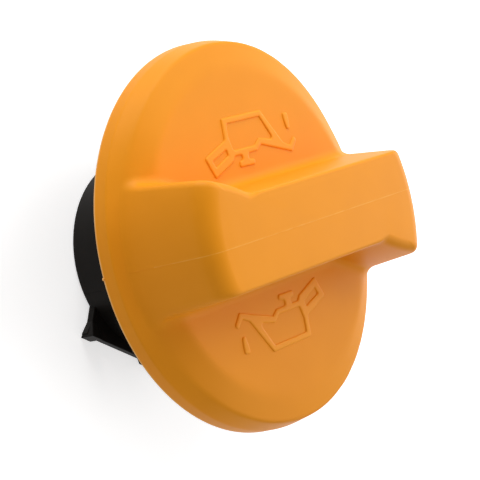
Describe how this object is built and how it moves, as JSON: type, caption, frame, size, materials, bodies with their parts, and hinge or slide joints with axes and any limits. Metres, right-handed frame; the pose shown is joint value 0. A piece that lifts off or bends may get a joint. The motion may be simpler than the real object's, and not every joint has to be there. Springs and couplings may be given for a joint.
{
  "type": "oil filler cap",
  "caption": "Round moulded engine oil filler cap with a hooked finger grip, a hollow bayonet neck with end lugs and a rubber sealing ring.",
  "frame": {"origin": "centre of the neck's end face, on the cap's axis", "axes": "+Z along the cap's axis, from the neck's end to the grip; X along the grip's straight middle; the hooked corners swing towards +Y at the -X end and towards -Y at the +X end"},
  "size_m": [0.076, 0.0758, 0.0465],
  "materials": {
    "orange_plastic": "fine matte moulded surface",
    "black_plastic": "smooth satin moulded surface",
    "seal_rubber": "dull moulded rubber"
  },
  "bodies": {
    "root": {"cover": "orange_plastic", "bayonet_body": "black_plastic", "sealing_ring": "seal_rubber"}
  },
  "joints": []
}
